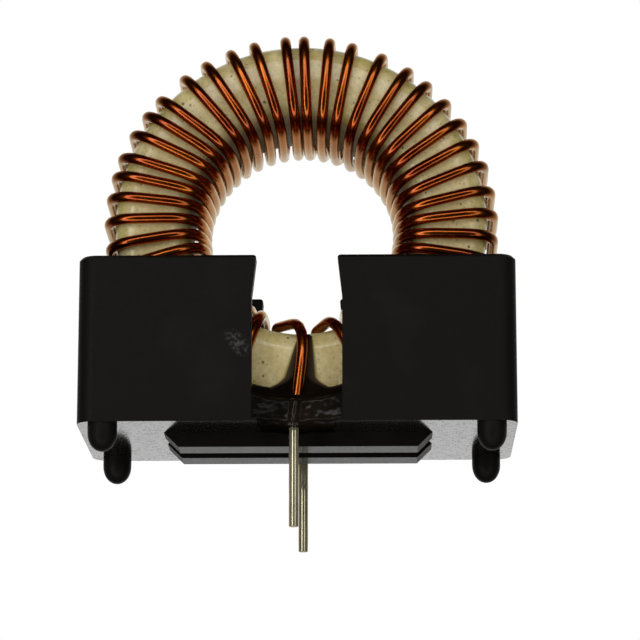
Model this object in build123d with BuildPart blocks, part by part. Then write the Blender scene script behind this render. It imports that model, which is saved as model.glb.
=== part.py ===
from build123d import *
from math import cos, radians, sin, sqrt, tan
import os

# Ring core: a pressed ring, its axis along Y, with its rounded edges drawn as narrow flats
core_inner_diameter = 14.5
core_wall = 4.70  # from the bore to the outside
core_depth = 8.7
core_edge_radius = 1.25
core_side_shift = 0.18  # the ring stands a little to one side in its pockets

# Winding: one layer of enamelled wire with an unwound stretch at the bottom
wire_diameter = 0.70
wire_clearance = 0.05
bore_clearance = 0.20  # the springy wire stands off the bore
wire_flats = 8  # the round wire is drawn with flats, so that its many turns stay light
bend_steps = 2  # short straight runs that take each bend
turn_count = 43
open_angle = 34.2
first_side_share = 0.515  # of the unwound stretch, the part on the first turn's side
front_skew_share = 0.4  # of a turn's advance, the part made on the front face
tail_bend_radius = 1.20
tail_sink = 0.10  # the wire's ends lie nearer the bore, where they loop over the ring's edge
tail_drop = 1.20  # straight stretch of enamelled wire above each lead
lead_stand_off = 0.25  # from the wound face to the lead
front_tail_place = 0.15  # across, from the ring's centre to the loop over its front edge
rear_tail_place = 0.45
rear_run_angle = -84.5  # where the wire from the rear tail lies in the bore
run_bend_depth = 1.50  # in front of the ring's middle, where the runs in the bore bend aside
run_bend_radius = 2.00

# Leads: the wire's stripped and tinned ends
lead_diameter = 0.64
lead_reach = 5.5  # below the board's face
lead_tip_chamfer = 0.10
front_lead_place = -0.21  # across, from the header's centre
rear_lead_place = 0.14

# Header: one moulding that holds the ring upright in two pockets
pocket_side_clearance = 0.275
pocket_face_clearance = 0.275
side_wall = 0.85
face_wall = 1.30
floor_thickness = 1.60
header_height = 10.73  # from the underside to the walls' tops
header_corner_radius = 1.15
pocket_corner_radius = 0.60
rim_break = 0.20
gap_width = 5.70
gap_lean = 0.30  # by which each of the gap's edges leans in at the walls' tops
gap_lean_height = 2.60  # below the walls' tops
gap_edge_radius = 0.20
notch_width = 5.00  # in the floor, for the lead and the resin round it
notch_setback = 0.75  # from the lead's axis to the notch's end
notch_corner_radius = 0.50

# Ribs under the header, which stand on the board
rib_height = 0.93
rib_length = 17.07
rib_end_slope = 0.94
rib_width = 2.15
rib_spacing = 1.66

# Locating pegs
peg_diameter = 1.86
peg_reach = 0.80  # below the board's face
peg_straight = 0.52
peg_nose_steps = 4  # flats that round the peg's nose
peg_side_inset = 1.625
peg_face_inset = 0.975

# Resin round each lead
resin_climb = 0.95  # above the floor, against the ring's face
resin_front_setback = 0.10  # behind the wall's outer face
resin_sag_share = 0.18
resin_bed = 0.75  # how far it runs in under the ring
tent_climb = 4.30  # above the floor, along the lead
tent_foot_width = 3.20
tent_top_width = 0.90
tent_ridge_width = 0.42

overrun = 1.0  # by which cuts pass their faces

# Heights above the board's face, which is the part's own origin
underside = rib_height
floor_top = underside + floor_thickness
wall_top = underside + header_height

# Sizes that follow from the ring and its wire
core_outer_diameter = core_inner_diameter + 2 * core_wall
ring_height = floor_top + core_outer_diameter / 2
edge_cut = core_edge_radius * (2 - sqrt(2))
edge_second_cut = core_edge_radius * (tan(radians(22.5)) - tan(radians(11.25)))
wire_stack = wire_clearance + wire_diameter
wire_middle = wire_clearance + wire_diameter / 2
outer_run = core_outer_diameter / 2 + wire_middle
inner_run = core_inner_diameter / 2 - bore_clearance - wire_diameter / 2
face_run = core_depth / 2 + wire_middle
bend_radius = core_edge_radius + wire_middle
turn_pitch_angle = (360 - open_angle) / turn_count
first_turn_angle = open_angle * first_side_share - 90
last_turn_angle = first_turn_angle + turn_count * turn_pitch_angle
front_skew_angle = turn_pitch_angle * front_skew_share
lead_depth = face_run + lead_stand_off
tail_height = ring_height - inner_run - tail_sink

# Sizes of the header that follow from the ring
pocket_width = core_outer_diameter + 2 * (wire_stack + pocket_side_clearance)
pocket_depth = core_depth + 2 * (wire_stack + pocket_face_clearance)
header_width = pocket_width + 2 * side_wall
header_depth = pocket_depth + 2 * face_wall
gap_top_width = gap_width - 2 * gap_lean
peg_spacing_x = header_width - 2 * peg_side_inset
peg_spacing_y = header_depth - 2 * peg_face_inset


def ring_point(radius, angle, depth):
    """A point in the ring's polar frame: angle from +X towards +Z, depth along Y."""
    across = core_side_shift + radius * cos(radians(angle))
    return Vector(across, depth, ring_height + radius * sin(radians(angle)))


def bent(corners, radii):
    """The route through the corners, each one taken by short straight runs round an arc."""
    route = [corners[0]]
    for before, corner, after, radius in zip(corners, corners[1:], corners[2:], radii):
        heading = (corner - before).normalized()
        onward = (after - corner).normalized()
        turn_axis = Axis((0, 0, 0), heading.cross(onward))
        turn_angle = heading.get_angle(onward)
        step_angle = turn_angle / bend_steps
        half_step = radius * tan(radians(step_angle / 2))
        point = corner - heading * (radius * tan(radians(turn_angle / 2)))
        for _ in range(bend_steps):
            point = point + heading * half_step
            route.append(point)
            heading = heading.rotate(turn_axis, step_angle)
            point = point + heading * half_step
    return route + [corners[-1]]


def tail_corners(side, lead_place, tail_place):
    """One end of the wire, from the top of its lead up to the loop over the ring's edge."""
    depth = side * lead_depth
    return [
        Vector(lead_place, depth, underside),
        Vector(lead_place, depth, underside + tail_drop),
        Vector(core_side_shift + tail_place, depth, tail_height),
    ]


def turn_corners(turn):
    """One turn: out over the front face, back along the outside and in over the rear face."""
    inner_angle = first_turn_angle + turn * turn_pitch_angle
    outer_angle = inner_angle + front_skew_angle
    return [
        ring_point(inner_run, inner_angle, -face_run),
        ring_point(outer_run, outer_angle, -face_run),
        ring_point(outer_run, outer_angle, face_run),
        ring_point(inner_run, inner_angle + turn_pitch_angle, face_run),
    ]


rear_tail = tail_corners(1, rear_lead_place, rear_tail_place)
rear_run = ring_point(inner_run, rear_run_angle, -run_bend_depth)
turns = [corner for turn in range(turn_count) for corner in turn_corners(turn)]
front_run = ring_point(inner_run, last_turn_angle, -run_bend_depth)
front_tail = tail_corners(-1, front_lead_place, front_tail_place)[::-1]
end_radii = [tail_bend_radius, tail_bend_radius, run_bend_radius]
wire_route = bent(
    rear_tail + [rear_run] + turns + [front_run] + front_tail,
    end_radii + [bend_radius] * len(turns) + end_radii[::-1],
)
tail_run_count = 2 * bend_steps + 1  # points of the route in each tail

# Core
with BuildPart() as core:
    with BuildSketch(Plane.XY.offset(ring_height)) as core_section:
        with Locations((core_side_shift + (core_outer_diameter + core_inner_diameter) / 4, 0)):
            Rectangle((core_outer_diameter - core_inner_diameter) / 2, core_depth)
        chamfer(core_section.vertices(), edge_cut)
        chamfer(core_section.vertices(), edge_second_cut)
    revolve(axis=Axis((core_side_shift, 0, ring_height), (0, 1, 0)))
core.part.label = "core"

# Winding
with BuildPart() as winding:
    with BuildLine() as wire_line:
        Polyline(*wire_route)
    with BuildSketch(Plane(wire_route[0], z_dir=wire_route[1] - wire_route[0])):
        RegularPolygon(wire_diameter / 2, wire_flats)
    sweep(path=wire_line.line, transition=Transition.RIGHT)
winding.part.label = "winding"


def build_lead(place, depth):
    """A tinned lead, from the header's underside to its cut end below the board."""
    with BuildPart() as lead:
        with BuildSketch(Plane((place, depth, underside))):
            Circle(lead_diameter / 2)
        extrude(amount=-(underside + lead_reach))
        chamfer(lead.edges().sort_by(Axis.Z)[0], lead_tip_chamfer)
    return lead.part


front_lead = build_lead(front_lead_place, -lead_depth)
front_lead.label = "front_lead"
rear_lead = build_lead(rear_lead_place, lead_depth)
rear_lead.label = "rear_lead"

# Header
with BuildPart() as header:
    with BuildSketch(Plane.XY.offset(underside)):
        RectangleRounded(header_width, header_depth, header_corner_radius)
    extrude(amount=header_height)
    chamfer(header.faces().sort_by(Axis.Z)[-1].edges(), rim_break)
    # The pockets, joined under the ring
    with BuildSketch(Plane.XY.offset(floor_top)):
        RectangleRounded(pocket_width, pocket_depth, pocket_corner_radius)
    extrude(amount=header_height, mode=Mode.SUBTRACT)
    # The gap in the front and rear walls, narrower at its top
    with BuildSketch(Plane.XZ):
        with BuildLine():
            Polyline(
                (gap_width / 2, floor_top),
                (gap_width / 2, wall_top - gap_lean_height),
                (gap_top_width / 2, wall_top),
                (gap_top_width / 2, wall_top + overrun),
                (-gap_top_width / 2, wall_top + overrun),
                (-gap_top_width / 2, wall_top),
                (-gap_width / 2, wall_top - gap_lean_height),
                (-gap_width / 2, floor_top),
                close=True,
            )
        make_face()
    extrude(amount=header_depth / 2 + overrun, both=True, mode=Mode.SUBTRACT)
    gap_edges = header.edges().filter_by(Axis.Y).group_by(Axis.Z)[-1]
    fillet(gap_edges.filter_by_position(Axis.X, -gap_width / 2, gap_width / 2), gap_edge_radius)
    # Notches in the floor for the leads
    notch_length = header_depth / 2 + overrun - lead_depth + notch_setback
    notch_middle = lead_depth - notch_setback + notch_length / 2
    with BuildSketch(Plane.XY.offset(underside)):
        with Locations((0, -notch_middle), (0, notch_middle)):
            RectangleRounded(notch_width, notch_length, notch_corner_radius)
    extrude(amount=floor_thickness, mode=Mode.SUBTRACT)
    # Ribs with sloping ends
    rib_middle = (rib_spacing + rib_width) / 2
    for side in (-1, 1):
        with BuildSketch(Plane.XZ.offset(side * rib_middle)):
            with BuildLine():
                Polyline(
                    (-rib_length / 2, underside),
                    (-rib_length / 2 + rib_end_slope, 0),
                    (rib_length / 2 - rib_end_slope, 0),
                    (rib_length / 2, underside),
                    close=True,
                )
            make_face()
        extrude(amount=rib_width / 2, both=True)
    # Bullet-shaped pegs at the corners
    peg_nose = [(0, underside), (peg_diameter / 2, underside)]
    for step in range(peg_nose_steps + 1):
        nose_angle = radians(90 * step / peg_nose_steps)
        nose_drop = (underside + peg_reach - peg_straight) * sin(nose_angle)
        peg_nose.append((peg_diameter / 2 * cos(nose_angle), underside - peg_straight - nose_drop))
    for x in (-peg_spacing_x / 2, peg_spacing_x / 2):
        for y in (-peg_spacing_y / 2, peg_spacing_y / 2):
            with BuildSketch(Plane((x, y, 0), x_dir=(1, 0, 0), z_dir=(0, -1, 0))):
                with BuildLine():
                    Polyline(*peg_nose, close=True)
                make_face()
            revolve(axis=Axis((x, y, 0), (0, 0, 1)))
header.part.label = "header"


def build_resin(side, lead_place, tail):
    """The resin in one wall's gap, with the tent that climbs the wire to its lead."""
    front = side * (header_depth / 2 - resin_front_setback)
    face = side * core_depth / 2
    back = side * (core_depth / 2 - resin_bed)
    top = floor_top + resin_climb
    sag = Vector(
        (front + face) / 2 - (front - face) * resin_sag_share,
        (floor_top + top) / 2 - resin_climb * resin_sag_share,
    )
    with BuildPart() as resin:
        # The pool, seen from its end
        with BuildSketch(Plane.YZ):
            with BuildLine():
                Polyline((face, top), (back, top), (back, underside), (front, underside), (front, floor_top))
                ThreePointArc((front, floor_top), sag, (face, top))
            make_face()
        extrude(amount=gap_width / 2, both=True)
        # The tent along the wire
        ridge = side * lead_depth
        for height, width, middle in (
            (floor_top, tent_foot_width, lead_place),
            (floor_top + tent_climb, tent_top_width, core_side_shift),
        ):
            with BuildSketch(Plane.XY.offset(height)):
                with BuildLine():
                    Polyline(
                        (middle - width / 2, back),
                        (middle - width / 2, face),
                        (middle - tent_ridge_width / 2, ridge),
                        (middle + tent_ridge_width / 2, ridge),
                        (middle + width / 2, face),
                        (middle + width / 2, back),
                        close=True,
                    )
                make_face()
        loft()
        add(header.part, mode=Mode.SUBTRACT)
        add(core.part, mode=Mode.SUBTRACT)
        # A round channel for the wire
        with BuildLine() as channel:
            Polyline(*tail)
        with BuildSketch(Plane(tail[0], z_dir=tail[1] - tail[0])):
            Circle(wire_diameter / 2)
        sweep(path=channel.line, transition=Transition.RIGHT, mode=Mode.SUBTRACT)
    return resin.part


rear_adhesive = build_resin(1, rear_lead_place, wire_route[:tail_run_count])
rear_adhesive.label = "rear_adhesive"
front_adhesive = build_resin(-1, front_lead_place, wire_route[::-1][:tail_run_count])
front_adhesive.label = "front_adhesive"

os.makedirs("parts", exist_ok=True)
export_step(core.part, "parts/core.step")
export_step(winding.part, "parts/winding.step")
export_step(front_lead, "parts/front_lead.step")
export_step(rear_lead, "parts/rear_lead.step")
export_step(header.part, "parts/header.step")
export_step(front_adhesive, "parts/front_adhesive.step")
export_step(rear_adhesive, "parts/rear_adhesive.step")
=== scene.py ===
import random
from math import cos, pi, radians, sin, tan

import bmesh
import bpy
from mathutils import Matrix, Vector, noise


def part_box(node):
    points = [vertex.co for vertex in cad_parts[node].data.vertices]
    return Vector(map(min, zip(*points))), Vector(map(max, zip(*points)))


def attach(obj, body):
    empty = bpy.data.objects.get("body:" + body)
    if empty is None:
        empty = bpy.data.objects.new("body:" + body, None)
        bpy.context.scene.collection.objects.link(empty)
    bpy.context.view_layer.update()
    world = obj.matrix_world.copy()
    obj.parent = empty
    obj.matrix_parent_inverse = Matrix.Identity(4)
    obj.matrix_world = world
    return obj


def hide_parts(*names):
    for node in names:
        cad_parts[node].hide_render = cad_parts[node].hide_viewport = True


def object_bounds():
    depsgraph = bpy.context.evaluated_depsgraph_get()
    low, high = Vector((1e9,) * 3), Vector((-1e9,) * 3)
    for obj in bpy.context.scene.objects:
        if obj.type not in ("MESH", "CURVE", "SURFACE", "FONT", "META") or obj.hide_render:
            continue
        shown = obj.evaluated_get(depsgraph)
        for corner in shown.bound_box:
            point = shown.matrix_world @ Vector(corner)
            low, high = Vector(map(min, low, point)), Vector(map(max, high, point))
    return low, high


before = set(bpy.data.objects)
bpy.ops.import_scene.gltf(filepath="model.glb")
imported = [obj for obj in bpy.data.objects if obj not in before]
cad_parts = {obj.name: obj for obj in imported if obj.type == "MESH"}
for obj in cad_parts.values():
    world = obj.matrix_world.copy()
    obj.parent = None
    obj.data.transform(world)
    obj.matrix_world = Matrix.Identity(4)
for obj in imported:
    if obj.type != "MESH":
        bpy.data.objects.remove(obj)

bl_info = {
    "name": "Wound Ring Inductor",
    "version": (1, 0, 0),
    "blender": (4, 5, 0),
    "location": "View3D > Sidebar > Inductor",
    "description": "Dresses the packed ring inductor with wire, coat, resin and tin, and sets its stage",
    "category": "Object",
}

MM = 0.001
CAD_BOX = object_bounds()
CORE_LOW, CORE_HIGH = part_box("core")
HEADER_LOW, HEADER_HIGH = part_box("header")
FRONT_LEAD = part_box("front_lead")
REAR_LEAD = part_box("rear_lead")
RING_CENTRE = (Vector(CORE_LOW) + Vector(CORE_HIGH)) / 2
RING_RADIUS = (CORE_HIGH[2] - CORE_LOW[2]) / 2
RING_HALF_DEPTH = (CORE_HIGH[1] - CORE_LOW[1]) / 2

# Part of a straight stretch that the bend at one of its ends may take up
BEND_ROOM = 0.49
# Places of the colour sockets on a mix node, whose names are shared with other kinds of sockets
MIX_LOW, MIX_HIGH, MIX_RESULT = 6, 7, 2

# How far the turns lie from an even spacing, as the wire was laid by hand: the turn, then shares of the
# pitch at the bore and at the outside
LAY_SHARES = (
    (0, 0.20, 0.0), (11, -0.70, -0.62), (12, -0.70, -0.57), (14, -0.45, -0.52), (16, -0.47, -0.51),
    (17, -0.41, -0.49), (18, -0.35, -0.37), (19, -0.16, -0.06), (21, -0.05, -0.10), (22, -0.14, -0.28),
    (23, -0.02, -0.02), (24, 0.03, -0.03), (26, 0.22, 0.09), (27, 0.28, 0.33), (29, 0.22, 0.11),
    (30, 0.27, 0.20), (31, 0.17, 0.0), (33, 0.15, -0.13), (42, 0.15, 0.0),
)


def length_prop(name, description, millimetres, least=0.0):
    """A setting for a length, which Blender keeps in metres."""
    return bpy.props.FloatProperty(
        name=name, description=description, default=millimetres * MM, min=least * MM, unit="LENGTH",
    )


def angle_prop(name, description, degrees):
    """A setting for an angle."""
    return bpy.props.FloatProperty(
        name=name, description=description, default=radians(degrees), subtype="ANGLE",
    )


def share_prop(name, description, default, most=1.0):
    """A setting for a part of a whole."""
    return bpy.props.FloatProperty(
        name=name, description=description, default=default, min=0.0, max=most, subtype="FACTOR",
    )


def colour_prop(name, description, default):
    """A setting for a colour."""
    return bpy.props.FloatVectorProperty(
        name=name, description=description, default=default, min=0.0, max=1.0, subtype="COLOR",
    )


class RingSizes(bpy.types.PropertyGroup):
    """Sizes of the coated ring."""

    bore: length_prop("Bore", "Inside diameter of the ring", 14.5, least=1.0)
    edge_radius: length_prop("Edge radius", "Rounding of the ring's four edges", 1.25, least=0.1)
    coat_lumps: length_prop("Coat lumps", "How far the coat's thickness wanders", 0.015)


class WireSizes(bpy.types.PropertyGroup):
    """Sizes of the enamelled wire and its lay round the ring."""

    diameter: length_prop("Diameter", "Outside diameter of the enamelled wire", 0.70, least=0.1)
    clearance: length_prop("Clearance", "Gap between the wire and the ring", 0.05)
    bore_clearance: length_prop("Bore clearance", "Gap between the springy wire and the bore", 0.30)
    turns: bpy.props.IntProperty(
        name="Turns", description="Turns of wire round the ring", default=43, min=2,
    )
    open_angle: angle_prop("Open angle", "Stretch of the ring with no wire, at the bottom", 34.2)
    first_side_share: share_prop(
        "First side share", "Part of the open stretch on the first turn's side", 0.515,
    )
    front_skew_share: share_prop("Front skew share", "Part of a turn's advance made on the front face", 0.4)
    wander: share_prop(
        "Wander", "Small sideways wander of each turn, as a share of the pitch", 0.05, most=0.5,
    )
    bow: length_prop("Bow", "How far the springy wire stands off the ring's outside", 0.06)
    inner_bend: length_prop(
        "Inner bend", "Reach of the springy wire's bend round the bore's edges", 2.40, least=0.1,
    )
    outer_bend: length_prop("Outer bend", "Reach of the wire's bend round the outer edges", 1.90, least=0.1)
    bore_bow: length_prop("Bore bow", "How far the wire in the bore arches towards the ring's centre", 0.40)
    tail_sink: length_prop("Tail sink", "How much nearer the bore the tails lie at their loops", 0.15)
    tail_drop: length_prop("Tail drop", "Straight stretch of wire above each lead", 0.30)
    tail_bend: length_prop("Tail bend", "Bend radius of the tails above their leads", 1.20, least=0.1)
    loop_bend: length_prop(
        "Loop bend", "Bend radius of the tails' loops over the ring's edge", 2.90, least=0.1,
    )
    front_tail_place: length_prop(
        "Front tail place", "Across, from the ring's centre to the front loop", 0.38, least=-5.0,
    )
    rear_tail_place: length_prop(
        "Rear tail place", "Across, from the ring's centre to the rear loop", 0.45, least=-5.0,
    )
    rear_run_angle: angle_prop("Rear run angle", "Where the wire from the rear tail lies in the bore", -82.0)
    front_run_angle: angle_prop(
        "Front run angle", "Where the wire to the front tail lies in the bore", -104.0,
    )
    run_bend_depth: length_prop(
        "Run bend depth", "In front of the ring's middle, where runs bend aside", 1.50,
    )
    run_bend: length_prop("Run bend", "Bend radius of the runs in the bore", 2.00, least=0.1)


class HeaderSizes(bpy.types.PropertyGroup):
    """Finer sizes of the moulded header."""

    peg_length: length_prop("Peg length", "From the header's underside to the pegs' tips", 1.73)
    peg_diameter: length_prop("Peg diameter", "Diameter of the locating pegs", 1.86, least=0.1)
    peg_straight: length_prop("Peg straight", "Straight stretch of the pegs above their noses", 0.52)
    peg_side_inset: length_prop("Peg side inset", "From the header's ends to the pegs' axes", 1.625)
    peg_face_inset: length_prop("Peg face inset", "From the header's long faces to the pegs' axes", 0.975)
    rib_height: length_prop("Rib height", "From the header's underside to the ribs' bottoms", 0.93)
    scuff_place: bpy.props.FloatVectorProperty(
        name="Scuff place", description="Middle of the rubbed streak on the front wall",
        default=(-3.72 * MM, -6.675 * MM, 5.92 * MM), unit="LENGTH",
    )
    scuff_reach: bpy.props.FloatVectorProperty(
        name="Scuff reach", description="Half the streak's length, depth and width",
        default=(1.25 * MM, 0.5 * MM, 0.66 * MM), unit="LENGTH",
    )
    scuff_turn: angle_prop("Scuff turn", "How far the streak falls from level", 52.0)
    edge_break: length_prop("Edge break", "Width of the soft edge on the moulding", 0.07)


class ResinSizes(bpy.types.PropertyGroup):
    """Sizes of the resin in each gap of the header's walls."""

    gap_width: length_prop("Gap width", "Width of the gap that the resin fills", 5.70, least=1.0)
    notch_width: length_prop("Notch width", "Width of the notch in the floor under the resin", 5.00)
    pool_height: length_prop("Pool height", "Height of the pool against the ring", 3.42)
    side_climb: length_prop("Side climb", "How much higher the pool stands at the gap's walls", 0.35)
    lip_share: share_prop("Lip share", "Part of the pool's height below its lean", 0.60, most=0.9)
    tent_height: length_prop("Tent height", "Height of the tent along the wire", 6.95)
    tent_foot: length_prop("Tent foot", "Half the tent's width at the pool", 1.35)
    tent_top: length_prop("Tent top", "Half the tent's width at its top", 0.46)
    loop_drop: length_prop("Loop drop", "From the ring's centre down to the tails' loops", 6.80)
    proud: length_prop("Proud", "How far the resin stands out of the wall's face", 0.03)
    drop: length_prop("Drop", "How far the resin hangs below the header at the lead", 0.14)
    lumps: length_prop("Lumps", "Waviness of the resin's surface", 0.10)


class Finishes(bpy.types.PropertyGroup):
    """Colours of the finishes."""

    coat: colour_prop("Ring coat", "Baked coat on the ring's faces", (0.71, 0.565, 0.235))
    coat_pale: colour_prop("Pale coat", "Paler patches in the coat", (0.84, 0.72, 0.38))
    coat_edge: colour_prop(
        "Ring coat at edges", "Baked coat where it is thick, round the edges", (0.52, 0.45, 0.09),
    )
    coat_speck: colour_prop("Coat specks", "Dark specks in the coat", (0.10, 0.08, 0.03))
    enamel: colour_prop("Enamelled wire", "Copper seen through its enamel", (0.60, 0.140, 0.003))
    enamel_dark: colour_prop("Dark enamel", "Copper where the enamel is thicker", (0.36, 0.05, 0.003))
    tin: colour_prop("Tin", "Tinned leads", (0.86, 0.79, 0.50))
    tin_dull: colour_prop("Dull tin", "Dull patches on the tinned leads", (0.58, 0.53, 0.36))
    moulding: colour_prop("Moulding", "Black moulded header", (0.0057, 0.0046, 0.0033))
    scuff: colour_prop("Scuffs", "Rubbed places on the moulding", (0.0090, 0.0080, 0.0068))
    streak: colour_prop("Rubbed streak", "Pale rubbed streak on the front wall", (0.046, 0.045, 0.038))
    resin: colour_prop("Resin", "Cured resin round the leads", (0.0045, 0.0036, 0.0026))
    resin_brown: colour_prop("Brown resin", "Browner patches in the resin", (0.012, 0.008, 0.005))
    resin_film: colour_prop("Resin film", "Resin where it is a thin film on the ring", (0.066, 0.046, 0.026))


class StageSettings(bpy.types.PropertyGroup):
    """Camera, floor and light."""

    azimuth: angle_prop("Azimuth", "Camera's way round the part", 1.11)
    elevation: angle_prop("Elevation", "Camera's height over the horizon", -13.3)
    distance: length_prop("Distance", "From the camera to its aim", 200.1)
    aim: bpy.props.FloatVectorProperty(
        name="Aim", description="Point that the camera looks at",
        default=(1.333 * MM, 0.0, 8.94 * MM), unit="LENGTH",
    )
    lens: bpy.props.FloatProperty(
        name="Lens", description="Focal length in millimetres", default=173.2, min=1.0,
    )
    floor_radius: length_prop("Floor radius", "Half the floor's width", 350.0)
    floor_colour: colour_prop("Floor colour", "Pale floor under the part", (0.86, 0.86, 0.85))
    ring_angle: angle_prop("Light ring angle", "From the view's axis to the ring of lights", 40.0)
    ring_distance: length_prop("Light ring distance", "From the part to the lights", 320.0)
    ring_count: bpy.props.IntProperty(
        name="Lights", description="Soft lights in the ring", default=16, min=1,
    )
    ring_width: length_prop("Light width", "Width of each soft light, across the ring", 68.0)
    ambient: bpy.props.FloatProperty(
        name="Fill level", description="Even light from all round on matt surfaces",
        default=0.50, min=0.0,
    )
    left_share: share_prop("Left share", "How much stronger the lights on the left of the ring are", 0.40)
    light_radiance: bpy.props.FloatProperty(
        name="Light level", description="Brightness of each soft light's face", default=2.0, min=0.0,
    )
    dim: bpy.props.FloatProperty(
        name="Room level", description="Brightness of the room on the camera's side",
        default=0.012, min=0.0,
    )


GROUPS = (
    ("inductor_ring", RingSizes),
    ("inductor_wire", WireSizes),
    ("inductor_header", HeaderSizes),
    ("inductor_resin", ResinSizes),
    ("inductor_finish", Finishes),
    ("inductor_stage", StageSettings),
)


def clamp(value):
    """The value, held between 0 and 1."""
    return min(max(value, 0.0), 1.0)


def axis_of(lead):
    """Where the axis of a lead's box lies, across and in depth."""
    low, high = lead
    return (low[0] + high[0]) / 2, (low[1] + high[1]) / 2


def ring_point(radius, angle, depth):
    """A point in the ring's polar frame: angle from +X towards +Z, depth along Y."""
    return RING_CENTRE + Vector((radius * cos(angle), depth, radius * sin(angle)))


def rounded(corners, radii, steps):
    """The route through the corners, each one taken by a smooth bend."""
    route = [corners[0]]
    for before, corner, after, radius in zip(corners, corners[1:], corners[2:], radii):
        inward = (before - corner).normalized()
        onward = (after - corner).normalized()
        turn = pi - inward.angle(onward)
        reach = radius * tan(turn / 2)
        first = corner + inward * min(reach, BEND_ROOM * (before - corner).length)
        last = corner + onward * min(reach, BEND_ROOM * (after - corner).length)
        for step in range(steps + 1):
            share = step / steps
            near = first.lerp(corner, share)
            far = corner.lerp(last, share)
            route.append(near.lerp(far, share))
    return route + [corners[-1]]


def tube(route, radius_at, sides):
    """A closed round tube along the route; radius_at gives the radius at each point's index."""
    shape = bmesh.new()
    across = (route[1] - route[0]).normalized().orthogonal().normalized()
    turns = [2 * pi * side / sides for side in range(sides)]
    rings = []
    for index, point in enumerate(route):
        before = route[max(index - 1, 0)]
        after = route[min(index + 1, len(route) - 1)]
        heading = (after - before).normalized()
        across = (across - heading * across.dot(heading)).normalized()
        other = heading.cross(across)
        radius = radius_at(index)
        rings.append([
            shape.verts.new(point + radius * (across * cos(turn) + other * sin(turn))) for turn in turns
        ])
    for low, high in zip(rings, rings[1:]):
        for side in range(sides):
            after = (side + 1) % sides
            shape.faces.new((low[side], low[after], high[after], high[side]))
    shape.faces.new(rings[0][::-1])
    shape.faces.new(rings[-1])
    bmesh.ops.recalc_face_normals(shape, faces=shape.faces)
    return shape


def add_piece(name, shape, material, node):
    """Makes a smooth piece from a shape, which is used up, in the place of a CAD node."""
    for face in shape.faces:
        face.smooth = True
    mesh = bpy.data.meshes.new(name)
    shape.to_mesh(mesh)
    shape.free()
    mesh.materials.append(material)
    piece = bpy.data.objects.new(name, mesh)
    bpy.context.scene.collection.objects.link(piece)
    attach(piece, "root")
    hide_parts(node)
    return piece


class Nodes:
    """A node tree with short ways to add nodes that are already joined."""

    def __init__(self, tree):
        self.tree = tree

    def join(self, given, socket):
        """Links another node's output to a socket, or writes a plain value on it."""
        if isinstance(given, bpy.types.NodeSocket):
            self.tree.links.new(given, socket)
        else:
            socket.default_value = given

    def add(self, kind, given=(), **settings):
        """Adds a node and returns its outputs; given holds its inputs, by name or place."""
        node = self.tree.nodes.new(kind)
        for label, value in settings.items():
            setattr(node, label, value)
        for label, value in dict(given).items():
            self.join(value, node.inputs[label])
        return node.outputs

    def math(self, operation, first, second):
        """One calculation with two values."""
        return self.add("ShaderNodeMath", {0: first, 1: second}, operation=operation)["Value"]

    def span(self, value, low, high, to_low, to_high):
        """Maps a value's range to another, clamped."""
        given = {"Value": value, "From Min": low, "From Max": high, "To Min": to_low, "To Max": to_high}
        return self.add("ShaderNodeMapRange", given)["Result"]


class Finish(Nodes):
    """A material built round its Principled shader."""

    def __init__(self, name):
        self.material = bpy.data.materials.new(name)
        self.material.use_nodes = True
        super().__init__(self.material.node_tree)

    def grain(self, size, patches):
        """Places the shared grain: outputs Height and Patches."""
        given = {"Grain Size": size, "Patch Size": patches}
        return self.add("ShaderNodeGroup", given, node_tree=grain_group())

    def specks(self, scale, size, spread):
        """Places the shared specks: their mask."""
        given = {"Scale": scale, "Size": size, "Spread": spread}
        return self.add("ShaderNodeGroup", given, node_tree=specks_group())["Mask"]

    def attribute(self, name):
        """A value that the mesh holds."""
        return self.add("ShaderNodeAttribute", attribute_name=name)["Fac"]

    def mix(self, factor, low, high):
        """A colour between low and high; each is a colour or another node's output."""
        ends = [end if isinstance(end, bpy.types.NodeSocket) else (*end, 1.0) for end in (low, high)]
        given = {"Factor": factor, MIX_LOW: ends[0], MIX_HIGH: ends[1]}
        return self.add("ShaderNodeMix", given, data_type="RGBA")[MIX_RESULT]

    def bump(self, height, strength, distance):
        """A normal for a surface raised by a height."""
        given = {"Height": height, "Strength": strength, "Distance": distance}
        return self.add("ShaderNodeBump", given)["Normal"]

    def finished(self, **values):
        """The material, once the shader has its values and other nodes' outputs."""
        shader = self.tree.nodes["Principled BSDF"]
        for label, given in values.items():
            self.join(given, shader.inputs[label.replace("_", " ")])
        return self.material


def value_group(name, inputs, outputs):
    """A new shader node group for plain values: its nodes and what it is given."""
    nodes = Nodes(bpy.data.node_groups.new(name, "ShaderNodeTree"))
    sockets = nodes.tree.interface
    for label, value in inputs.items():
        socket = sockets.new_socket(name=label, in_out="INPUT", socket_type="NodeSocketFloat")
        socket.default_value = value
    for label in outputs:
        sockets.new_socket(name=label, in_out="OUTPUT", socket_type="NodeSocketFloat")
    return nodes, nodes.add("NodeGroupInput")


def grain_group():
    """Fine moulded or baked grain: a height for bump and a slow patchy shade."""
    name = "Surface Grain"
    if name in bpy.data.node_groups:
        return bpy.data.node_groups[name]
    nodes, given = value_group(name, {"Grain Size": 4000.0, "Patch Size": 300.0}, ("Height", "Patches"))
    place = nodes.add("ShaderNodeTexCoord")["Object"]
    fine = nodes.add("ShaderNodeTexNoise", {"Vector": place, "Scale": given["Grain Size"], "Detail": 4.0})
    slow = nodes.add("ShaderNodeTexNoise", {"Vector": place, "Scale": given["Patch Size"], "Detail": 3.0})
    nodes.add("NodeGroupOutput", {"Height": fine["Fac"], "Patches": slow["Fac"]})
    return nodes.tree


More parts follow.
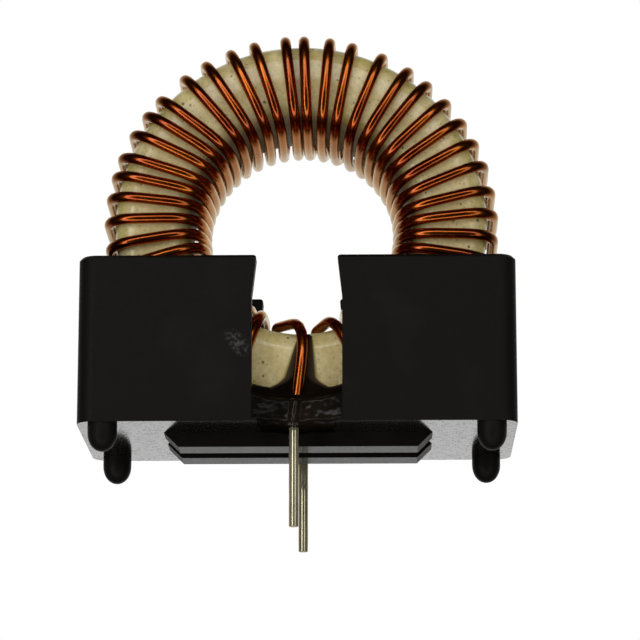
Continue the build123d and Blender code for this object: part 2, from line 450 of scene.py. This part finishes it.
def specks_group():
    """Scattered specks of uneven shape: a mask that is 1 inside each speck."""
    name = "Specks"
    if name in bpy.data.node_groups:
        return bpy.data.node_groups[name]
    ragged_share, solid_share, least_radius = 4.0, 0.6, 0.001
    nodes, given = value_group(name, {"Scale": 1100.0, "Size": 0.2, "Spread": 0.5}, ("Mask",))
    place = nodes.add("ShaderNodeTexCoord")["Object"]
    ragged_scale = nodes.math("MULTIPLY", given["Scale"], ragged_share)
    ragged = nodes.add("ShaderNodeTexNoise", {"Vector": place, "Scale": ragged_scale, "Detail": 2.0})
    spaced = nodes.add("ShaderNodeVectorMath", {0: place, "Scale": given["Scale"]}, operation="SCALE")
    shifted = nodes.add(
        "ShaderNodeVectorMath", {0: ragged["Color"], 1: given["Size"], 2: spaced["Vector"]},
        operation="MULTIPLY_ADD",
    )
    cells = nodes.add("ShaderNodeTexVoronoi", {"Vector": shifted["Vector"], "Scale": 1.0})
    chance = nodes.add("ShaderNodeSeparateColor", {"Color": cells["Color"]})["Red"]
    radius = nodes.math("MULTIPLY", nodes.span(chance, given["Spread"], 1.0, 0.0, 1.0), given["Size"])
    solid = nodes.math("MULTIPLY", radius, solid_share)
    inside = nodes.span(cells["Distance"], solid, radius, 1.0, 0.0)
    present = nodes.math("GREATER_THAN", radius, least_radius)
    nodes.add("NodeGroupOutput", {"Mask": nodes.math("MULTIPLY", inside, present)})
    return nodes.tree


def coat_finish(colours):
    """Khaki baked coat, yellower where it is thick round the edges, with dark pits and specks."""
    finish = Finish("ring_coat")
    grain = finish.grain(size=3200.0, patches=700.0)
    dots = finish.specks(scale=4200.0, size=0.45, spread=0.3)
    pits = finish.specks(scale=1900.0, size=0.24, spread=0.42)
    base = finish.mix(finish.attribute("coat_edge"), colours.coat, colours.coat_edge)
    paler = finish.mix(finish.span(grain["Patches"], 0.35, 0.65, 0.0, 0.8), base, colours.coat_pale)
    grainy = finish.mix(finish.span(grain["Height"], 0.35, 0.7, 0.22, 0.0), paler, colours.coat_speck)
    dotted = finish.mix(finish.span(dots, 0.0, 1.0, 0.0, 0.3), grainy, colours.coat_speck)
    pitted = finish.mix(finish.span(pits, 0.0, 1.0, 0.0, 0.85), dotted, colours.coat_speck)
    return finish.finished(
        Base_Color=pitted, Roughness=finish.span(grain["Patches"], 0.3, 0.7, 0.40, 0.55),
        Coat_Weight=finish.attribute("coat_gloss"), Coat_Roughness=0.08, Specular_IOR_Level=0.3,
        Normal=finish.bump(grain["Height"], strength=0.3, distance=0.03 * MM),
    )


def enamel_finish(colours):
    """Copper under a clear brown enamel."""
    finish = Finish("enamelled_wire")
    grain = finish.grain(size=1800.0, patches=220.0)
    shade = finish.span(grain["Patches"], 0.35, 0.68, 0.0, 1.0)
    return finish.finished(
        Base_Color=finish.mix(shade, colours.enamel_dark, colours.enamel), Metallic=1.0,
        Roughness=finish.span(grain["Height"], 0.3, 0.7, 0.19, 0.26), Coat_Weight=0.55,
        Coat_Roughness=0.07, Specular_Tint=(0.69, 0.77, 0.47, 1.0),
        Normal=finish.bump(grain["Height"], strength=0.04, distance=0.02 * MM),
    )


def tin_finish(colours):
    """Dipped tin, bright with soft waves."""
    finish = Finish("tinned_wire")
    grain = finish.grain(size=1500.0, patches=500.0)
    shade = finish.span(grain["Patches"], 0.35, 0.7, 0.0, 1.0)
    return finish.finished(
        Base_Color=finish.mix(shade, colours.tin_dull, colours.tin), Metallic=0.78,
        Roughness=finish.span(grain["Height"], 0.3, 0.7, 0.07, 0.15),
        Normal=finish.bump(grain["Height"], strength=0.10, distance=0.04 * MM),
    )


def moulding_finish(colours, sizes):
    """Black moulding: matt walls with a rubbed streak, and a polished underside with a fine speckle."""
    finish = Finish("black_moulding")
    grain = finish.grain(size=5200.0, patches=260.0)
    polish = finish.attribute("polish")
    laid = {
        "Vector": finish.add("ShaderNodeTexCoord")["Object"], "Location": sizes.scuff_place,
        "Rotation": (0.0, sizes.scuff_turn, 0.0), "Scale": sizes.scuff_reach,
    }
    over = finish.add("ShaderNodeMapping", laid, vector_type="TEXTURE")["Vector"]
    streak = finish.add("ShaderNodeTexGradient", {"Vector": over}, gradient_type="SPHERICAL")["Fac"]
    broken = finish.math("MULTIPLY", streak, finish.span(grain["Height"], 0.42, 0.62, 0.0, 1.0))
    rubbed = finish.span(grain["Patches"], 0.55, 0.75, 0.0, 0.7)
    worn = finish.mix(rubbed, colours.moulding, colours.scuff)
    wall = finish.span(grain["Height"], 0.3, 0.7, 0.44, 0.58)
    sheen = finish.span(polish, 0.0, 1.0, 1.0, 0.22)
    clean = finish.span(finish.specks(scale=5200.0, size=0.8, spread=0.1), 0.0, 1.0, 0.86, 0.25)
    return finish.finished(
        Base_Color=finish.mix(finish.span(broken, 0.05, 0.5, 0.0, 1.0), worn, colours.streak),
        Roughness=finish.math("MULTIPLY", wall, sheen), Specular_IOR_Level=0.155,
        Coat_Weight=finish.math("MULTIPLY", clean, polish), Coat_Roughness=0.10,
        Normal=finish.bump(grain["Height"], strength=0.12, distance=0.03 * MM),
    )


def resin_finish(colours):
    """Dark resin, brown where it is a thin film on the ring, with a wet front."""
    finish = Finish("dark_resin")
    grain = finish.grain(size=1300.0, patches=500.0)
    film = finish.attribute("film")
    shade = finish.span(grain["Patches"], 0.4, 0.7, 0.0, 1.0)
    deep = finish.mix(shade, colours.resin, colours.resin_brown)
    brown = finish.mix(finish.span(film, 0.1, 0.85, 0.0, 1.0), deep, colours.resin_film)
    glint = finish.span(grain["Patches"], 0.4, 0.6, 0.1, 0.6)
    return finish.finished(
        Base_Color=finish.mix(finish.span(film, 0.85, 1.0, 0.0, 0.8), brown, colours.coat),
        Roughness=finish.span(grain["Height"], 0.3, 0.7, 0.14, 0.50), Specular_IOR_Level=0.0,
        Coat_Weight=finish.math("MULTIPLY", glint, finish.attribute("wet")), Coat_Roughness=0.2,
        Normal=finish.bump(grain["Height"], strength=0.25, distance=0.1 * MM),
    )


def floor_finish(colour):
    """Pale floor that shows from above and lets reflections and the low lights through."""
    material = bpy.data.materials.new("stage_floor")
    material.use_nodes = True
    material.node_tree.nodes.clear()
    nodes = Nodes(material.node_tree)
    path = nodes.add("ShaderNodeLightPath")
    ray = nodes.math("MAXIMUM", path["Is Glossy Ray"], path["Is Shadow Ray"])
    through = nodes.math("MAXIMUM", ray, nodes.add("ShaderNodeNewGeometry")["Backfacing"])
    pale = nodes.add("ShaderNodeBsdfDiffuse", {"Color": (*colour, 1.0)})["BSDF"]
    clear = nodes.add("ShaderNodeBsdfTransparent")["BSDF"]
    both = nodes.add("ShaderNodeMixShader", {0: through, 1: pale, 2: clear})["Shader"]
    nodes.add("ShaderNodeOutputMaterial", {"Surface": both})
    return material


def light_world(scene, toward_camera, sizes):
    """White all round behind the part, dimmer on the camera's side, and white to the camera itself."""
    whitest, dimmest, fade = -0.95, -0.10, 2.0
    scene.world = bpy.data.worlds.new("studio")
    scene.world.use_nodes = True
    scene.world.node_tree.nodes.clear()
    nodes = Nodes(scene.world.node_tree)
    way = nodes.add("ShaderNodeTexCoord")["Generated"]
    facing = nodes.add("ShaderNodeVectorMath", {0: way, 1: toward_camera}, operation="DOT_PRODUCT")["Value"]
    behind = nodes.math("POWER", nodes.span(facing, whitest, dimmest, 1.0, 0.0), fade)
    room = nodes.math("MAXIMUM", behind, sizes.dim)
    path = nodes.add("ShaderNodeLightPath")
    lit = nodes.add("ShaderNodeMix", {"Factor": path["Is Diffuse Ray"], "A": room, "B": sizes.ambient})
    seen = nodes.math("MAXIMUM", lit["Result"], path["Is Camera Ray"])
    back = nodes.add("ShaderNodeBackground", {"Color": (1.0, 1.0, 1.0, 1.0), "Strength": seen})
    nodes.add("ShaderNodeOutputWorld", {"Surface": back["Background"]})


class INDUCTOR_OT_ring(bpy.types.Operator):
    """Turns the ring core with round edges and a coat of wandering thickness"""

    bl_idname = "inductor.ring"
    bl_label = "Coated Ring"

    segments = 192
    edge_steps = 7
    bore_edge_share = 0.6
    lump_scale = 700.0

    def profile(self, inner, edge):
        """The ring's section: radius, depth and how thick the coat is there, from 0 to 1."""
        points = []
        for radius, side, start in (
            (RING_RADIUS - edge, 1, 0.0), (inner + edge, 1, pi / 2),
            (inner + edge, -1, pi), (RING_RADIUS - edge, -1, 1.5 * pi),
        ):
            share = 1.0 if radius > inner + edge else self.bore_edge_share
            for step in range(self.edge_steps + 1):
                angle = start + pi / 2 * step / self.edge_steps
                depth = side * (RING_HALF_DEPTH - edge) + edge * sin(angle)
                points.append((radius + edge * cos(angle), depth, share * abs(cos(angle))))
        return points

    def execute(self, context):
        sizes = context.scene.inductor_ring
        inner, edge = sizes.bore / 2, sizes.edge_radius
        profile = self.profile(inner, edge)
        shape = bmesh.new()
        thick = shape.verts.layers.float.new("coat_edge")
        gloss = shape.verts.layers.float.new("coat_gloss")
        rings = []
        for segment in range(self.segments):
            angle = 2 * pi * segment / self.segments
            rings.append([])
            for radius, depth, share in profile:
                place = ring_point(radius, angle, depth)
                lump = noise.noise(place * self.lump_scale) * sizes.coat_lumps
                vert = shape.verts.new(ring_point(radius + lump, angle, depth))
                vert[thick] = share
                vert[gloss] = 1.0 if radius > inner + edge / 2 else 0.0
                rings[-1].append(vert)
        for here, there in zip(rings, rings[1:] + rings[:1]):
            for k in range(len(profile)):
                after = (k + 1) % len(profile)
                shape.faces.new((here[k], here[after], there[after], there[k]))
        bmesh.ops.recalc_face_normals(shape, faces=shape.faces)
        add_piece("coated_ring", shape, coat_finish(context.scene.inductor_finish), "core")
        return {"FINISHED"}


class INDUCTOR_OT_winding(bpy.types.Operator):
    """Winds one length of enamelled wire round the ring, with its two tails"""

    bl_idname = "inductor.winding"
    bl_label = "Winding"

    sides = 14
    bend_steps = 6
    seed = 11
    slack_bends = 8
    least_bow_share = 0.3

    def lay(self, turn):
        """How far a turn lies from its even place at the bore and the outside, as shares of the pitch."""
        for (before, *low), (after, *high) in zip(LAY_SHARES, LAY_SHARES[1:]):
            if turn <= after:
                along = (turn - before) / (after - before)
                return [first + (last - first) * along for first, last in zip(low, high)]
        return LAY_SHARES[-1][1:]

    def tail(self, sizes, lead, place, run):
        """One tail, from the top of its lead to the loop over the ring's edge."""
        across, depth = axis_of(lead)
        foot = lead[1][2]
        return [
            Vector((across, depth, foot)),
            Vector((across, depth, foot + sizes.tail_drop)),
            Vector((RING_CENTRE.x + place, depth, RING_CENTRE.z - run - sizes.tail_sink)),
        ]

    def execute(self, context):
        ring, sizes = context.scene.inductor_ring, context.scene.inductor_wire
        stack = sizes.clearance + sizes.diameter / 2
        outer = RING_RADIUS + stack
        inner = ring.bore / 2 - sizes.bore_clearance - sizes.diameter / 2
        sunk = inner + sizes.tail_sink
        face = RING_HALF_DEPTH + stack
        slack = self.slack_bends * sizes.outer_bend
        pitch = (2 * pi - sizes.open_angle) / sizes.turns
        first = sizes.open_angle * sizes.first_side_share - pi / 2
        hand = random.Random(self.seed)
        corners, radii = [], []
        for turn in range(sizes.turns):
            stray = hand.uniform(-1, 1) * sizes.wander
            start = first + (turn + self.lay(turn)[0] + stray / 2) * pitch
            over = first + (turn + self.lay(turn)[1] + stray + sizes.front_skew_share) * pitch
            rear = over + hand.uniform(-1, 1) * sizes.wander * pitch
            bow = sizes.bow * hand.uniform(self.least_bow_share, 1.0)
            if turn > 0:
                corners.append(ring_point(inner - sizes.bore_bow, (stop + start) / 2, 0.0))
                radii.append(slack)
            stop = first + (turn + 1 + self.lay(turn + 1)[0]) * pitch
            corners += [
                ring_point(inner if turn else sunk, start, -face),
                ring_point(outer, over, -face),
                ring_point(outer + bow, (over + rear) / 2, 0.0),
                ring_point(outer, rear, face),
                ring_point(inner, stop, face),
            ]
            radii += [sizes.inner_bend, sizes.outer_bend, slack, sizes.outer_bend, sizes.inner_bend]
        rear_end = self.tail(sizes, REAR_LEAD, sizes.rear_tail_place, inner)
        rear_end.append(ring_point(sunk, sizes.rear_run_angle, -sizes.run_bend_depth))
        front_end = self.tail(sizes, FRONT_LEAD, sizes.front_tail_place, inner)
        front_end.append(ring_point(inner, sizes.front_run_angle, -sizes.run_bend_depth))
        end_radii = [sizes.tail_bend, sizes.loop_bend, sizes.run_bend]
        route = rounded(
            rear_end + corners + front_end[::-1], end_radii + radii + end_radii[::-1], self.bend_steps,
        )
        shape = tube(route, lambda index: sizes.diameter / 2, self.sides)
        material = enamel_finish(context.scene.inductor_finish)
        add_piece("enamelled_winding", shape, material, "winding")
        return {"FINISHED"}


class INDUCTOR_OT_leads(bpy.types.Operator):
    """Draws the two tinned leads, a little lumpy from the dip, with rounded cut ends"""

    bl_idname = "inductor.leads"
    bl_label = "Tinned Leads"

    sides = 24
    rings = 48
    burr_share = 0.25
    burr_steps = 4
    lump_share = 0.05
    lump_scale = 900.0

    def lead_tube(self, lead):
        """One lead as a closed tube that fills the box of its CAD node."""
        low, high = lead
        across, depth = axis_of(lead)
        radius, length = (high[0] - low[0]) / 2, high[2] - low[2]
        burr = self.burr_share * radius
        heights = [length * (1 - ring / self.rings) for ring in range(self.rings)]
        heights += [burr * (1 - step / self.burr_steps) for step in range(self.burr_steps + 1)]
        route = [Vector((across, depth, low[2] + height)) for height in heights]

        def radius_at(index):
            tip = min(heights[index] / burr, 1.0)
            dome = radius - burr + burr * (1 - (1 - tip) ** 2) ** 0.5
            lump = 1 - self.lump_share * (0.5 + noise.noise(route[index] * self.lump_scale))
            return dome * min(lump, 1.0)

        return tube(route, radius_at, self.sides)

    def execute(self, context):
        material = tin_finish(context.scene.inductor_finish)
        for node, lead in (("front_lead", FRONT_LEAD), ("rear_lead", REAR_LEAD)):
            add_piece("tinned_" + node, self.lead_tube(lead), material, node)
        return {"FINISHED"}


class INDUCTOR_OT_header(bpy.types.Operator):
    """Breaks the moulded header's sharp edges, rounds its pegs and gives it its black plastic"""

    bl_idname = "inductor.header"
    bl_label = "Moulded Header"

    sharp = radians(32.0)
    flat = radians(0.5)
    merge = 0.002 * MM
    facing_down = -0.9
    rib_polish = 0.23
    peg_sides = 40
    nose_steps = 9
    nose_power = 0.96

    def peg(self, shape, sizes, across, along, underside):
        """One bullet-shaped peg, closed, with its root in the header's floor."""
        radius, nose = sizes.peg_diameter / 2, sizes.peg_length - sizes.peg_straight
        profile = [(radius, underside + sizes.edge_break), (radius, underside - sizes.peg_straight)]
        for step in range(1, self.nose_steps):
            angle = pi / 2 * step / self.nose_steps
            fall = nose * sin(angle) ** self.nose_power
            profile.append((radius * cos(angle) ** self.nose_power, underside - sizes.peg_straight - fall))
        turns = [2 * pi * side / self.peg_sides for side in range(self.peg_sides)]
        rings = [
            [shape.verts.new((across + out * cos(turn), along + out * sin(turn), up)) for turn in turns]
            for out, up in profile
        ]
        tip = shape.verts.new((across, along, HEADER_LOW[2]))
        faces = [shape.faces.new(rings[0])]
        for side in range(self.peg_sides):
            for upper, lower in zip(rings, rings[1:]):
                faces.append(shape.faces.new((upper[side - 1], lower[side - 1], lower[side], upper[side])))
            faces.append(shape.faces.new((rings[-1][side - 1], tip, rings[-1][side])))
        bmesh.ops.recalc_face_normals(shape, faces=faces)

    def round_pegs(self, shape, sizes, underside):
        """Puts a smooth peg at each corner."""
        for side in (-1, 1):
            for end in (-1, 1):
                across = end * (HEADER_HIGH[0] - sizes.peg_side_inset)
                along = side * (HEADER_HIGH[1] - sizes.peg_face_inset)
                self.peg(shape, sizes, across, along, underside)

    def execute(self, context):
        sizes = context.scene.inductor_header
        underside = HEADER_LOW[2] + sizes.peg_length
        shape = bmesh.new()
        shape.from_mesh(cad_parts["header"].data)
        bmesh.ops.remove_doubles(shape, verts=shape.verts, dist=self.merge)
        pegs = [
            face for face in shape.faces
            if face.calc_center_median().z < underside - sizes.edge_break
            and abs(face.calc_center_median().x) > HEADER_HIGH[0] - 2 * sizes.peg_side_inset
        ]
        bmesh.ops.delete(shape, geom=pegs, context="FACES")
        bmesh.ops.holes_fill(shape, edges=[edge for edge in shape.edges if edge.is_boundary], sides=0)
        bmesh.ops.dissolve_limit(shape, angle_limit=self.flat, verts=shape.verts, edges=shape.edges)
        edges = [edge for edge in shape.edges if edge.is_manifold and edge.calc_face_angle() > self.sharp]
        bmesh.ops.bevel(
            shape, geom=edges, offset=sizes.edge_break, segments=2, profile=0.5, affect="EDGES",
            clamp_overlap=True,
        )
        bmesh.ops.remove_doubles(shape, verts=shape.verts, dist=self.merge)
        bmesh.ops.dissolve_degenerate(shape, edges=shape.edges, dist=self.merge)
        self.round_pegs(shape, sizes, underside)
        polish = shape.faces.layers.float.new("polish")
        for face in shape.faces:
            below = face.calc_center_median().z - underside
            face[polish] = 0.0
            if face.normal.z < self.facing_down and below > -sizes.rib_height - sizes.edge_break:
                face[polish] = 1.0 if below > -sizes.edge_break else self.rib_polish
        for edge in shape.edges:
            edge.smooth = not edge.is_manifold or edge.calc_face_angle() < self.sharp
        material = moulding_finish(context.scene.inductor_finish, sizes)
        piece = add_piece("moulded_header", shape, material, "header")
        flats = piece.modifiers.new("Level flats", "WEIGHTED_NORMAL")
        flats.keep_sharp = True
        return {"FINISHED"}


class INDUCTOR_OT_resin(bpy.types.Operator):
    """Pours the resin into each gap: a pool over the floor and a tent up the wire"""

    bl_idname = "inductor.resin"
    bl_label = "Resin"

    # The grid: its pitch, the rows past the tent's top and the pitches over which the notch's edge fades
    step = 0.06 * MM
    spare_rows = 6
    notch_fade = 3
    # The tent: its ridge along the wire, the flare at its foot and how it falls away at its end
    ridge = 0.62 * MM
    ridge_half = 0.25 * MM
    foot_flare = 0.9 * MM
    flare_share = 0.25
    tent_power = 1.5
    tent_end_slope = 3.0
    # The pool: its climb at the walls, the dip in its lip, the bulge over the lead and its lower edge
    climb_power = 3
    lip_dip = 0.22
    drape = 0.24 * MM
    drape_half = 0.36 * MM
    curl_height = 0.35 * MM
    curl_depth = 0.30 * MM
    drop_half = 1.3 * MM
    edge_wave = 0.08 * MM
    wave_scale = 900.0
    # The film: how thin the resin is where it turns brown, and how far into the ring its back lies
    pool_film = 0.12 * MM
    tent_film = 0.60 * MM
    film_start = 0.3
    under_core = 0.15 * MM
    # The lumps on the surface, and how high up they end
    lump_scale = 1100.0
    fine_lump_scale = 2700.0
    fine_lump_share = 0.5
    lump_end = 1.3

    def core_depth(self, across, height):
        """How far the ring's face stands from its middle, at a place seen from the front."""
        ring = bpy.context.scene.inductor_ring
        edge = ring.edge_radius
        radius = Vector((across - RING_CENTRE.x, height - RING_CENTRE.z)).length
        past = max(ring.bore / 2 + edge - radius, radius - RING_RADIUS + edge, 0.0)
        return RING_HALF_DEPTH - edge + max(edge * edge - past * past, 0.0) ** 0.5

    def depth(self, across, height, floor, wire_across, front):
        """How far the resin's surface stands from the ring's middle."""
        sizes = bpy.context.scene.inductor_resin
        off_wire, half = across - wire_across, sizes.gap_width / 2
        top = sizes.pool_height + sizes.side_climb * (abs(across) / half) ** self.climb_power
        share = (height - floor) / (top - floor)
        lip = sizes.lip_share * (1 - self.lip_dip * max(1 - (off_wire / half) ** 2, 0.0))
        lean = 0.5 + 0.5 * cos(pi * clamp((share - lip) / (1 - lip)))
        over_lead = max(1 - (off_wire / self.drape_half) ** 2, 0.0)
        pool = RING_HALF_DEPTH + (front - RING_HALF_DEPTH + self.drape * over_lead) * lean
        pool -= max(height - top, 0.0)
        rise = (height - sizes.pool_height) / (sizes.tent_height - sizes.pool_height)
        reach = sizes.tent_foot * (1 - rise) + sizes.tent_top * rise
        reach += self.foot_flare * (max(self.flare_share - rise, 0.0) / self.flare_share) ** 2
        fill = (reach - abs(off_wire)) / (reach - self.ridge_half)
        tent = self.core_depth(across, height)
        tent += self.ridge * (min(fill, 1.0) ** self.tent_power if fill > 0 else fill)
        tent -= self.tent_end_slope * max(height - sizes.tent_height, 0.0)
        place = Vector((across, height, front))
        lump = noise.noise(place * self.lump_scale)
        lump += self.fine_lump_share * noise.noise(place * self.fine_lump_scale)
        return max(pool, tent) + sizes.lumps * lump * clamp(self.lump_end - share)

    def surface(self, context, side, lead, loop, front):
        """The resin's open front as a grid, with its lower edge curled under."""
        sizes = context.scene.inductor_resin
        floor = HEADER_LOW[2] + context.scene.inductor_header.peg_length
        loop_rise = RING_CENTRE.z - sizes.loop_drop - floor
        top = sizes.tent_height + self.step * self.spare_rows
        half = sizes.gap_width / 2
        columns = int(2 * half / self.step)
        rows = int((top - floor) / self.step)
        shape = bmesh.new()
        grid = {}
        for i in range(columns + 1):
            across = -half + 2 * half * i / columns
            inside = clamp((sizes.notch_width / 2 - abs(across)) / (self.notch_fade * self.step))
            drop = sizes.drop * max(1 - ((across - lead) / self.drop_half) ** 2, 0.0)
            wave = self.edge_wave * abs(noise.noise(Vector((across * self.wave_scale, side, 0.0))))
            low = floor + self.step * (1 - inside) - drop - inside * wave
            for j in range(rows + 1):
                height = low + (top - low) * j / rows
                wire = lead + (loop - lead) * clamp((height - floor) / loop_rise)
                depth = self.depth(across, height, floor, wire, front)
                curl = 1 - min((height - low) / self.curl_height, 1.0)
                depth -= self.curl_depth * (1 - (1 - curl ** 2) ** 0.5)
                if depth > self.core_depth(across, height) - self.step or height < sizes.pool_height:
                    grid[i, j] = shape.verts.new((across, side * depth, height))
        for i in range(columns):
            for j in range(rows):
                ring = [grid.get(key) for key in ((i, j), (i + 1, j), (i + 1, j + 1), (i, j + 1))]
                if all(ring):
                    shape.faces.new(ring)
        loose = [vert for vert in shape.verts if not vert.link_faces]
        bmesh.ops.delete(shape, geom=loose, context="VERTS")
        return shape

    def pour(self, context, side, lead, tail_place):
        """One gap's resin as a closed solid, marked where it is a thin film and where it is wet."""
        sizes = context.scene.inductor_resin
        front = max(HEADER_HIGH[1], -HEADER_LOW[1]) + sizes.proud
        shape = self.surface(context, side, axis_of(lead)[0], RING_CENTRE.x + tail_place, front)
        film = shape.verts.layers.float.new("film")
        wet = shape.verts.layers.float.new("wet")
        for vert in shape.verts:
            vert[wet] = clamp(1 - (front - abs(vert.co.y)) / self.curl_depth)
            over = abs(vert.co.y) - self.core_depth(vert.co.x, vert.co.z)
            up = clamp((vert.co.z - sizes.pool_height) / self.tent_film - self.film_start)
            vert[film] = clamp(1 - over / (self.pool_film + (self.tent_film - self.pool_film) * up))
        back = bmesh.ops.extrude_face_region(shape, geom=shape.faces[:], use_keep_orig=True)
        for vert in back["geom"]:
            if isinstance(vert, bmesh.types.BMVert):
                deep = self.core_depth(vert.co.x, vert.co.z) - self.under_core
                vert.co.y = side * min(deep, abs(vert.co.y) - self.step)
        bmesh.ops.recalc_face_normals(shape, faces=shape.faces)
        return shape

    def execute(self, context):
        material = resin_finish(context.scene.inductor_finish)
        wire = context.scene.inductor_wire
        for node, side, lead, place in (
            ("front_adhesive", -1, FRONT_LEAD, wire.front_tail_place),
            ("rear_adhesive", 1, REAR_LEAD, wire.rear_tail_place),
        ):
            add_piece("set_" + node, self.pour(context, side, lead, place), material, node)
        return {"FINISHED"}


class INDUCTOR_OT_stage(bpy.types.Operator):
    """Sets the floor, the ring of soft lights, the white surroundings and the camera"""

    bl_idname = "inductor.stage"
    bl_label = "Stage"

    sensor_width = 36.0
    near_clip = 0.01
    floor_sides = 96
    floor_gap = 0.05 * MM

    def aim_camera(self, scene, sizes, toward):
        """Sets the camera at its distance from the aim."""
        camera = bpy.data.objects.new("view", bpy.data.cameras.new("view"))
        camera.data.lens = sizes.lens
        camera.data.sensor_width = self.sensor_width
        camera.data.clip_start = self.near_clip
        camera.location = Vector(sizes.aim) + toward * sizes.distance
        camera.rotation_euler = (-toward).to_track_quat("-Z", "Y").to_euler()
        scene.collection.objects.link(camera)
        scene.camera = camera

    def hang_lights(self, scene, sizes, toward):
        """Sets the soft lights in a ring round the view's axis, stronger on the left."""
        right = Vector((cos(sizes.azimuth), sin(sizes.azimuth), 0.0))
        up = right.cross(-toward)
        length = 2 * pi * sin(sizes.ring_angle) * sizes.ring_distance / sizes.ring_count
        for index in range(sizes.ring_count):
            turn = 2 * pi * (index + 0.5) / sizes.ring_count
            out = right * cos(turn) + up * sin(turn)
            lamp = bpy.data.lights.new("ring_light", "AREA")
            lamp.shape = "RECTANGLE"
            lamp.size, lamp.size_y = length, sizes.ring_width
            level = sizes.light_radiance * (1 - sizes.left_share * cos(turn))
            lamp.energy = level * pi * lamp.size * lamp.size_y
            light = bpy.data.objects.new("ring_light", lamp)
            way = toward * cos(sizes.ring_angle) + out * sin(sizes.ring_angle)
            light.location = Vector(sizes.aim) + way * sizes.ring_distance
            light.rotation_euler = way.to_track_quat("Z", "Y").to_euler()
            scene.collection.objects.link(light)

    def execute(self, context):
        scene, sizes = context.scene, context.scene.inductor_stage
        toward = Vector((
            sin(sizes.azimuth) * cos(sizes.elevation),
            -cos(sizes.azimuth) * cos(sizes.elevation),
            sin(sizes.elevation),
        ))
        self.aim_camera(scene, sizes, toward)
        self.hang_lights(scene, sizes, toward)
        light_world(scene, toward, sizes)
        bpy.ops.mesh.primitive_circle_add(
            vertices=self.floor_sides, radius=sizes.floor_radius, fill_type="NGON",
            location=(0.0, 0.0, CAD_BOX[0][2] - self.floor_gap),
        )
        floor = context.object
        floor.name = "stage_floor"
        floor.data.materials.append(floor_finish(sizes.floor_colour))
        scene.view_settings.view_transform = "Standard"
        return {"FINISHED"}


class INDUCTOR_PT_panel(bpy.types.Panel):
    """Lists the part's pieces and sizes in the sidebar"""

    bl_idname = "INDUCTOR_PT_panel"
    bl_label = "Wound Ring Inductor"
    bl_space_type = "VIEW_3D"
    bl_region_type = "UI"
    bl_category = "Inductor"

    def draw(self, context):
        for operator in OPERATORS:
            self.layout.operator(operator.bl_idname)
        for name, group in GROUPS:
            box = self.layout.box()
            box.label(text=group.__doc__)
            for label in group.__annotations__:
                box.prop(getattr(context.scene, name), label)


OPERATORS = (
    INDUCTOR_OT_ring,
    INDUCTOR_OT_winding,
    INDUCTOR_OT_leads,
    INDUCTOR_OT_header,
    INDUCTOR_OT_resin,
    INDUCTOR_OT_stage,
)


def register():
    for name, group in GROUPS:
        bpy.utils.register_class(group)
        setattr(bpy.types.Scene, name, bpy.props.PointerProperty(type=group))
    for kind in (*OPERATORS, INDUCTOR_PT_panel):
        bpy.utils.register_class(kind)


def unregister():
    for kind in (INDUCTOR_PT_panel, *reversed(OPERATORS)):
        bpy.utils.unregister_class(kind)
    for name, group in reversed(GROUPS):
        delattr(bpy.types.Scene, name)
        bpy.utils.unregister_class(group)


def main():
    register()
    bpy.ops.inductor.ring()
    bpy.ops.inductor.winding()
    bpy.ops.inductor.leads()
    bpy.ops.inductor.header()
    bpy.ops.inductor.resin()
    bpy.ops.inductor.stage()


if __name__ == "__main__":
    main()
